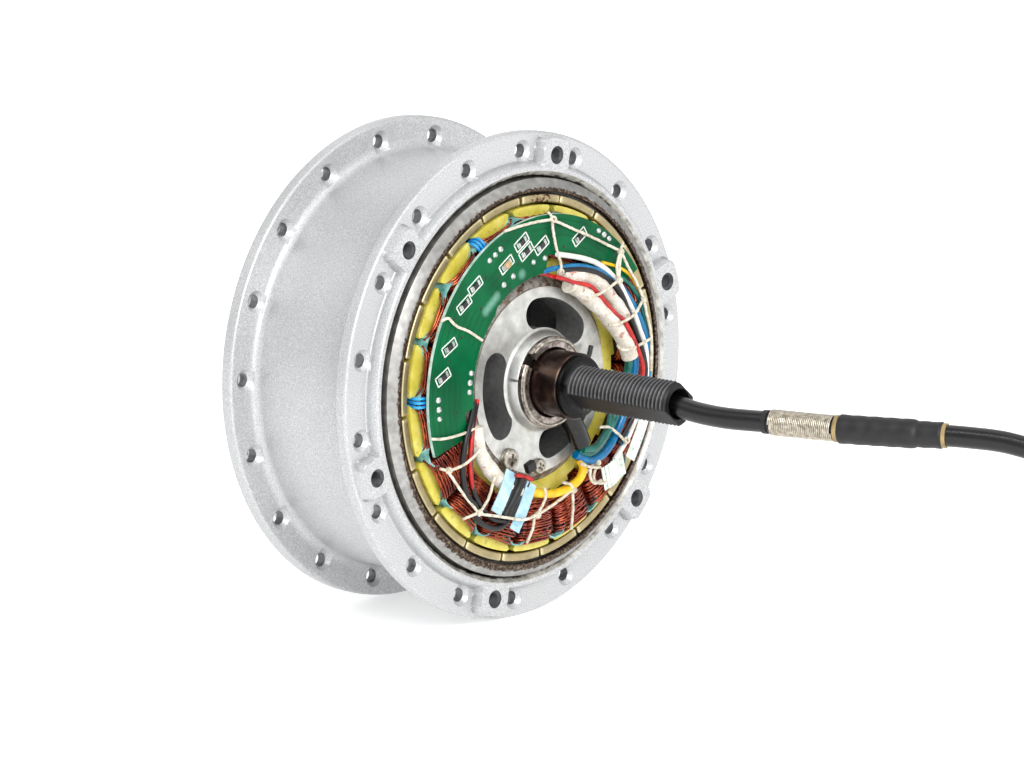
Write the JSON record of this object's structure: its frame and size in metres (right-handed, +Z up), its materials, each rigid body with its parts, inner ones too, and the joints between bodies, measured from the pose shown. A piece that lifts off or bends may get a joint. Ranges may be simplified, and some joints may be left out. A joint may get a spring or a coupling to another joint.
{
  "type": "hub motor",
  "caption": "Direct-drive hub motor for a spoked wheel, near cover off: flanged drum with magnets turns round a wound stator fixed on a threaded axle with its cable.",
  "frame": {"origin": "middle of the axle's rear end face, 75 mm behind the point half way between the two spoke flanges", "axes": "+Z up, Y along the axle, the open side faces -Y, +X to the right when looking along +Y"},
  "size_m": [0.1476, 0.2949, 0.1476],
  "materials": {
    "silver_coat": "silver powder coat, fine metallic grain, satin",
    "ring_steel": "machined steel with brown rust speckle",
    "magnet_plating": "dull gold-tan plating, bright worn edges",
    "bright_steel": "plain bright steel",
    "black_rubber": "black, slightly glossy",
    "axle_steel": "blackened steel, brown polished bearing seat",
    "core_epoxy": "yellow epoxy powder over steel laminations",
    "cast_aluminium": "bare casting, fine grain, machined faces",
    "copper_enamel": "dark red-brown enamelled copper wire",
    "board_green": "green solder mask",
    "green_insulation": "glossy wire insulation",
    "blue_insulation": "glossy wire insulation",
    "yellow_insulation": "glossy wire insulation",
    "white_sleeve": "woven glass-fibre sleeve, off-white, stained"
  },
  "bodies": {
    "stator": {"axle": "axle_steel", "rear_bearing_inner_ring": "bright_steel", "stator_core": "core_epoxy", "stator_spider": "cast_aluminium", "retaining_ring": "bright_steel", "spider_screw_large": "bright_steel", "spider_screw_small": "bright_steel", "sensor_board": "board_green", "motor_cable": "black_rubber", "strain_relief_spring": "bright_steel", "heat_shrink_sleeve": "black_rubber", "coil_group_a1": "copper_enamel", "coil_group_b1": "copper_enamel", "coil_group_c1": "copper_enamel", "coil_group_a2": "copper_enamel", "coil_group_b2": "copper_enamel", "coil_group_c2": "copper_enamel", "phase_lead_green": "green_insulation", "phase_lead_blue": "blue_insulation", "phase_lead_yellow": "yellow_insulation", "sensor_lead_bundle": "black_rubber", "phase_lead_sleeve": "white_sleeve", "thermistor": "black_rubber"},
    "rotor": {"hub_shell": "silver_coat", "rotor_back_iron": "ring_steel", "magnet_01": "magnet_plating", "magnet_02": "magnet_plating", "magnet_03": "magnet_plating", "magnet_04": "magnet_plating", "magnet_05": "magnet_plating", "magnet_06": "magnet_plating", "magnet_07": "magnet_plating", "magnet_08": "magnet_plating", "magnet_09": "magnet_plating", "magnet_10": "magnet_plating", "magnet_11": "magnet_plating", "magnet_12": "magnet_plating", "magnet_13": "magnet_plating", "magnet_14": "magnet_plating", "magnet_15": "magnet_plating", "magnet_16": "magnet_plating", "magnet_17": "magnet_plating", "magnet_18": "magnet_plating", "magnet_19": "magnet_plating", "magnet_20": "magnet_plating", "rear_cover": "silver_coat", "rear_cover_screw_1": "bright_steel", "rear_cover_screw_2": "bright_steel", "rear_cover_screw_3": "bright_steel", "rear_cover_screw_4": "bright_steel", "rear_cover_screw_5": "bright_steel", "rear_cover_screw_6": "bright_steel", "rear_bearing_outer_ring": "bright_steel", "rear_axle_seal": "black_rubber"},
    "ball_cage": {"rear_bearing_ball_cage": "bright_steel"}
  },
  "joints": [
    {"name": "rotor_spin", "type": "hinge", "parent": "stator", "child": "rotor", "pos_m": [0, -0.075, 0], "axis": [0, 1, 0], "continuous": true},
    {"name": "cage_spin", "type": "hinge", "parent": "stator", "child": "ball_cage", "pos_m": [0, -0.0456, 0], "axis": [0, 1, 0], "continuous": true}
  ],
  "couplings": [
    {"joint": "cage_spin", "follows": "rotor_spin", "ratio": 0.5737}
  ]
}
